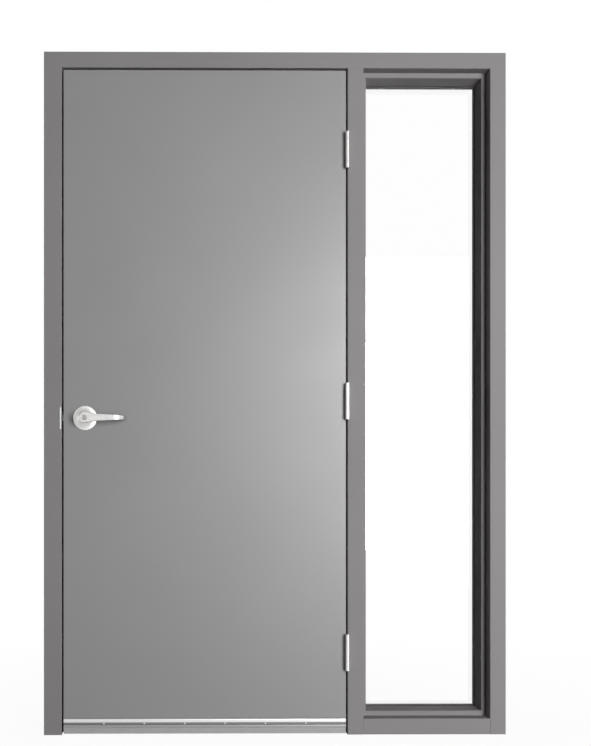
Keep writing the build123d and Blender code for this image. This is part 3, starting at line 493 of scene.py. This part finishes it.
nodes_of_finish = {
    frame_grey: (
        "strike_jamb",
        "mullion",
        "sidelite_jamb",
        "head",
        "sidelite_sill",
        "glazing_stop_left",
        "glazing_stop_right",
        "glazing_stop_top",
        "glazing_stop_bottom",
    ),
    leaf_grey: ("front_skin", "back_skin", "top_channel", "bottom_channel"),
    satin: ("outside_lever", "inside_lever"),
    painted_light_satin: ("outside_rose", "inside_rose"),
    plug_steel: ("key_plug",),
    dull_steel: ("strike_plate", "latch_face_plate", "latch_bolt"),
    upright_satin: (
        "bottom_hinge_frame_leaf",
        "bottom_hinge_door_leaf",
        "bottom_hinge_pin",
        "middle_hinge_frame_leaf",
        "middle_hinge_door_leaf",
        "middle_hinge_pin",
        "top_hinge_frame_leaf",
        "top_hinge_door_leaf",
        "top_hinge_pin",
    ),
    zinc: (
        "frame_hinge_reinforcements",
        "strike_reinforcement",
        "dust_box",
        "floor_anchor_strike_jamb",
        "floor_anchor_mullion",
        "floor_anchor_sidelite_jamb",
        "wall_anchors_strike_jamb",
        "wall_anchors_sidelite_jamb",
        "stiffeners",
        "leaf_hinge_reinforcements",
        "lock_reinforcement",
        "lock_chassis",
        "latch_case",
        "retractor",
        "spindle",
    ),
    extruded: ("sweep_retainer",),
    vinyl: ("sweep_seal",),
    rubber: ("silencers", "setting_blocks", "glazing_tape_front", "glazing_tape_back"),
    glass: ("sidelite_glass",),
}
for material, names in nodes_of_finish.items():
    for name in names:
        mesh = nodes[name].data
        mesh.materials.clear()
        mesh.materials.append(material)


# Screws. Each one stands where the model has it, and gets its cross recess here.


def middle_of(points):
    low = Vector(map(min, zip(*points)))
    high = Vector(map(max, zip(*points)))
    return (low + high) / 2


def place_in_steps(points):
    """A part's place in whole order steps, the same on every run."""
    return tuple(round(distance / order_step) for distance in middle_of(points))


def parts_of(name):
    """Corner points of each separate solid in a CAD node, in order of place."""
    welded = bmesh.new()
    welded.from_mesh(nodes[name].data)
    bmesh.ops.remove_doubles(welded, verts=welded.verts, dist=weld_distance)
    waiting = set(welded.verts)
    parts = []
    while waiting:
        reached = [waiting.pop()]
        for vertex in reached:
            for edge in vertex.link_edges:
                other = edge.other_vert(vertex)
                if other in waiting:
                    waiting.remove(other)
                    reached.append(other)
        parts.append([vertex.co.copy() for vertex in reached])
    welded.free()
    return sorted(parts, key=place_in_steps)


def head_of(points, outward):
    """Middle of the top of a screw's head."""
    middle = middle_of(points)
    top = max((point - middle).dot(outward) for point in points)
    return middle + top * outward


def radius_of(points, outward):
    """Largest distance of a screw's points from its axis."""
    middle = middle_of(points)
    return max((point - middle).cross(outward).length for point in points)


def length_of(points, outward):
    reach = [point.dot(outward) for point in points]
    return max(reach) - min(reach)


def screw_tree():
    """Tree with named inputs for the places, the sizes, the seed and the finish."""
    tree = bpy.data.node_groups.new("recessed_screws", "GeometryNodeTree")
    inputs = {
        "Places": "NodeSocketGeometry",
        "Head Radius": "NodeSocketFloat",
        "Neck Radius": "NodeSocketFloat",
        "Head Height": "NodeSocketFloat",
        "Crown": "NodeSocketFloat",
        "Shank Radius": "NodeSocketFloat",
        "Length": "NodeSocketFloat",
        "Recess Reach": "NodeSocketFloat",
        "Recess Width": "NodeSocketFloat",
        "Recess Depth": "NodeSocketFloat",
        "Seed": "NodeSocketInt",
        "Finish": "NodeSocketMaterial",
    }
    for name, kind in inputs.items():
        tree.interface.new_socket(name, in_out="INPUT", socket_type=kind)
    tree.interface.new_socket("Screws", in_out="OUTPUT", socket_type="NodeSocketGeometry")
    return tree


def upward(tree, height):
    return add_node(tree, "ShaderNodeCombineXYZ", {"Z": height})["Vector"]


def moved_up(tree, geometry, height):
    inputs = {"Geometry": geometry, "Translation": upward(tree, height)}
    return add_node(tree, "GeometryNodeTransform", inputs)["Geometry"]


def crowned_head(tree, given):
    """A screw's head under z = 0: a cone out to the rim, and a low dome over it."""
    cone_height = maths(tree, "SUBTRACT", given["Head Height"], given["Crown"])
    cone = add_node(
        tree,
        "GeometryNodeMeshCone",
        {
            "Vertices": screw_sides,
            "Fill Segments": crown_rings,
            "Radius Top": given["Head Radius"],
            "Radius Bottom": given["Neck Radius"],
            "Depth": cone_height,
        },
        fill_type="TRIANGLE_FAN",
    )["Mesh"]
    position = add_node(tree, "GeometryNodeInputPosition")["Position"]
    place = add_node(tree, "ShaderNodeSeparateXYZ", {"Vector": position})
    squares = [product(tree, place[axis], place[axis]) for axis in "XY"]
    across = maths(tree, "ADD", *squares)
    whole = product(tree, given["Head Radius"], given["Head Radius"])
    fall = maths(tree, "DIVIDE", across, whole)
    rise = product(tree, given["Crown"], maths(tree, "SUBTRACT", 1.0, fall))
    on_top = maths(tree, "GREATER_THAN", place["Z"], product(tree, cone_height, 0.5))
    offset = upward(tree, product(tree, rise, on_top))
    inputs = {"Geometry": cone, "Offset": offset}
    domed = add_node(tree, "GeometryNodeSetPosition", inputs)["Geometry"]
    return moved_up(tree, domed, product(tree, given["Head Height"], -1.0))


def cross_cut(tree, given, head):
    """The head with two crossed slots sunk in its top."""
    reach = product(tree, given["Recess Reach"], 2.0)
    depth = product(tree, given["Recess Depth"], 2.0)
    width = given["Recess Width"]
    cut = tree.nodes.new("GeometryNodeMeshBoolean")
    cut.operation = "DIFFERENCE"
    tree.links.new(head, cut.inputs["Mesh 1"])
    for x, y in ((reach, width), (width, reach)):
        size = add_node(tree, "ShaderNodeCombineXYZ", {"X": x, "Y": y, "Z": depth})["Vector"]
        slot = add_node(tree, "GeometryNodeMeshCube", {"Size": size})["Mesh"]
        tree.links.new(slot, cut.inputs["Mesh 2"])
    return cut.outputs["Mesh"]


def shank(tree, given):
    """Plain stem from under the head to the tip."""
    stem_length = maths(tree, "SUBTRACT", given["Length"], given["Head Height"])
    inputs = {
        "Vertices": screw_sides,
        "Radius": given["Shank Radius"],
        "Depth": stem_length,
    }
    stem = add_node(tree, "GeometryNodeMeshCylinder", inputs)["Mesh"]
    both = maths(tree, "ADD", given["Length"], given["Head Height"])
    return moved_up(tree, stem, product(tree, both, -0.5))


def outward_turn(tree, given):
    """Each screw's head turned outward, and its recess at a chance angle."""
    outward = add_node(
        tree, "GeometryNodeInputNamedAttribute", {"Name": "outward"}, data_type="FLOAT_VECTOR"
    )
    facing = add_node(
        tree, "FunctionNodeAlignRotationToVector", {"Vector": outward["Attribute"]}, axis="Z"
    )
    angle = add_node(
        tree,
        "FunctionNodeRandomValue",
        {"Max": quarter_turn, "Seed": given["Seed"]},
        data_type="FLOAT",
    )
    turn = add_node(
        tree,
        "FunctionNodeAxisAngleToRotation",
        {"Axis": (0.0, 0.0, 1.0), "Angle": angle["Value"]},
    )
    return add_node(
        tree,
        "FunctionNodeRotateRotation",
        {"Rotation": facing["Rotation"], "Rotate By": turn["Rotation"]},
        rotation_space="LOCAL",
    )["Rotation"]


def recessed_screws():
    """Tree that puts a screw with a cross recess on every point, with its head outward."""
    tree = screw_tree()
    given = tree.nodes.new("NodeGroupInput").outputs
    screw = tree.nodes.new("GeometryNodeJoinGeometry")
    head = cross_cut(tree, given, crowned_head(tree, given))
    for part in (head, shank(tree, given)):
        tree.links.new(part, screw.inputs["Geometry"])
    placed = add_node(
        tree,
        "GeometryNodeInstanceOnPoints",
        {
            "Points": given["Places"],
            "Instance": screw.outputs["Geometry"],
            "Rotation": outward_turn(tree, given),
        },
    )
    real = add_node(tree, "GeometryNodeRealizeInstances", {"Geometry": placed["Instances"]})
    inputs = {"Geometry": real["Geometry"], "Material": given["Finish"]}
    finished = add_node(tree, "GeometryNodeSetMaterial", inputs)["Geometry"]
    end = tree.nodes.new("NodeGroupOutput")
    tree.links.new(finished, end.inputs["Screws"])
    return tree


def drive_screws(tree, name, node, outward_of, sizes):
    """One mesh with all the screws of a CAD node, which it stands for."""
    parts = parts_of(node)
    outwards = [outward_of(middle_of(points)) for points in parts]
    first, outward = parts[0], outwards[0]
    values = {
        "Head Radius": radius_of(first, outward),
        "Length": length_of(first, outward),
        "Seed": len(parts),
        "Finish": satin,
        **sizes,
    }
    mesh = bpy.data.meshes.new(name)
    mesh.from_pydata([head_of(points, way) for points, way in zip(parts, outwards)], [], [])
    mesh.attributes.new("outward", "FLOAT_VECTOR", "POINT").data.foreach_set(
        "vector", [part for way in outwards for part in way]
    )
    piece = bpy.data.objects.new(name, mesh)
    bpy.context.scene.collection.objects.link(piece)
    modifier = piece.modifiers.new("screws", "NODES")
    modifier.node_group = tree
    for item in tree.interface.items_tree:
        if item.in_out == "INPUT" and item.name in values:
            modifier[item.identifier] = values[item.name]
    graph = bpy.context.evaluated_depsgraph_get()
    made = bpy.data.meshes.new_from_object(piece.evaluated_get(graph), depsgraph=graph)
    piece.modifiers.clear()
    piece.data = made
    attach(piece, body_of_node[node])
    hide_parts(node)


def always(x, y, z):
    """The same way for every screw."""
    way = Vector((x, y, z)).normalized()
    return lambda middle: way


def into_sidelite(middle):
    """Way from a glazing stop's screw towards the middle of the glass."""
    low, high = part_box("sidelite_glass")
    across = min(middle.x - low.x, high.x - middle.x)
    along = min(middle.z - low.z, high.z - middle.z)
    if across < along:
        return Vector((1 if middle.x < (low.x + high.x) / 2 else -1, 0, 0))
    return Vector((0, 0, 1 if middle.z < (low.z + high.z) / 2 else -1))


def edge_bevel():
    """How far the leaf's lock edge leans in, for each metre of the leaf's thickness."""
    front_edge, front_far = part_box("front_skin")
    back_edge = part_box("back_skin")[0]
    return (back_edge.x - front_edge.x) / (front_far.y - front_edge.y)


screws = recessed_screws()
for name, node, outward_of, sizes in (
    ("mullion_hinge_screws", "frame_hinge_screws", always(-1, 0, 0), countersunk),
    ("leaf_hinge_screws", "door_hinge_screws", always(1, 0, 0), countersunk),
    ("lip_strike_screws", "strike_screws", always(1, 0, 0), countersunk),
    ("latch_face_screws", "face_plate_screws", always(-1, edge_bevel(), 0), countersunk),
    ("stop_screws", "glazing_stop_screws", into_sidelite, pan_head),
    ("groove_screws", "sweep_screws", always(0, -1, 0), sweep_head),
):
    drive_screws(screws, name, node, outward_of, sizes)


# Studio.


def straight_and_polished(tree):
    """Shares of the rays that meet only glass before the lens, and of those from a gloss."""
    path = add_node(tree, "ShaderNodeLightPath")
    unscattered = maths(tree, "LESS_THAN", path["Diffuse Depth"], before_first_bounce)
    polished = product(tree, path["Is Glossy Ray"], unscattered)
    unturned = maths(tree, "LESS_THAN", path["Glossy Depth"], before_first_bounce)
    through_glass = product(tree, path["Is Transmission Ray"], unturned)
    through_glass = product(tree, through_glass, unscattered)
    straight = maths(tree, "MAXIMUM", path["Is Camera Ray"], through_glass)
    return straight, polished


def make_world():
    """White to the lens and through glass, a grey room to gloss, and nearly dark to paint."""
    world = bpy.data.worlds.new("studio")
    world.use_nodes = True
    tree = world.node_tree
    sky = tree.nodes["Background"]
    sky.inputs["Color"].default_value = white
    straight, polished = straight_and_polished(tree)
    generated = add_node(tree, "ShaderNodeTexCoord")["Generated"]
    direction = add_node(tree, "ShaderNodeSeparateXYZ", {"Vector": generated})["Y"]
    room = ranged(tree, direction, gloss_fade, (gloss_strength_front, gloss_strength_back))
    strength = blended(tree, polished, ambient_strength, room)
    strength = blended(tree, straight, strength, background_strength)
    tree.links.new(strength, sky.inputs["Strength"])
    bpy.context.scene.world = world


def pale_floor():
    """A floor that shows nearly white to the lens and keeps the door's shadow."""
    material = bpy.data.materials.new("pale_floor")
    material.use_nodes = True
    tree = material.node_tree
    tree.nodes.remove(tree.nodes["Principled BSDF"])
    seen = maths(tree, "MAXIMUM", *straight_and_polished(tree))
    colour = tinted(tree, seen, floor_bounce, floor_shade)
    matte = add_node(tree, "ShaderNodeBsdfDiffuse", {"Color": colour})["BSDF"]
    strength = {"Strength": background_strength}
    glow = add_node(tree, "ShaderNodeEmission", strength)["Emission"]
    ends = {0: object_point(tree), 1: (door_middle.x, 0.0, 0.0)}
    away = add_node(tree, "ShaderNodeVectorMath", ends, operation="DISTANCE")["Value"]
    share = ranged(tree, away, (shadow_reach, shadow_end), (floor_glow, 1.0))
    inputs = {0: product(tree, seen, share), 1: matte, 2: glow}
    surface = add_node(tree, "ShaderNodeMixShader", inputs)["Shader"]
    tree.links.new(surface, tree.nodes["Material Output"].inputs["Surface"])
    return material


def make_floor():
    half = floor_side / 2
    mesh = bpy.data.meshes.new("floor")
    corners = [(-half, -half, 0), (half, -half, 0), (half, half, 0), (-half, half, 0)]
    mesh.from_pydata(corners, [], [(0, 1, 2, 3)])
    mesh.materials.append(pale_floor())
    floor = bpy.data.objects.new("floor", mesh)
    bpy.context.scene.collection.objects.link(floor)


def soft_box(name, place, aim, size, power, deep=None):
    """A soft box that the lens doesn't see, square where no second side is given."""
    data = bpy.data.lights.new(name, "AREA")
    data.shape = "RECTANGLE"
    data.size = size
    data.size_y = deep or size
    data.energy = power
    lamp = bpy.data.objects.new(name, data)
    bpy.context.scene.collection.objects.link(lamp)
    lamp.location = place
    lamp.rotation_euler = (Vector(aim) - Vector(place)).to_track_quat("-Z", "Y").to_euler()
    lamp.visible_camera = False


def make_lamps():
    key_aim = (key_place[0], 0.0, key_place[2])
    soft_box("key", key_place, key_aim, key_size, key_power)
    soft_box("low", low_place, low_aim, low_size, low_power)
    soft_box("rear", rear_place, door_middle, rear_size, rear_power)
    for name, sign in (("side_left", -1), ("side_right", 1)):
        place = (sign * side_distance, 0.0, side_height)
        soft_box(name, place, door_middle, side_size, side_power)
    place = (door_middle.x, 0.0, overhead_height)
    soft_box("overhead", place, door_middle, overhead_long, overhead_power, overhead_deep)


def make_camera():
    """Camera almost square to the door, with the shift that the photograph's framing needs."""
    data = bpy.data.cameras.new("camera")
    data.sensor_width = sensor_side
    data.lens = camera_distance / metres_per_pixel * sensor_side / picture_height
    turn_in_pixels = camera_distance / metres_per_pixel * math.tan(camera_turn)
    optical_x = optical_pixel_x + turn_in_pixels
    data.shift_x = (picture_width / 2 - optical_x) / picture_height
    data.shift_y = (optical_pixel_y - picture_height / 2) / picture_height
    camera = bpy.data.objects.new("camera", data)
    bpy.context.scene.collection.objects.link(camera)
    camera.location = (camera_x, cad_front - camera_distance, camera_z)
    camera.rotation_euler = (math.radians(90), 0.0, -camera_turn)
    bpy.context.scene.camera = camera


make_world()
make_floor()
make_lamps()
make_camera()

bpy.context.scene.view_settings.view_transform = "Standard"
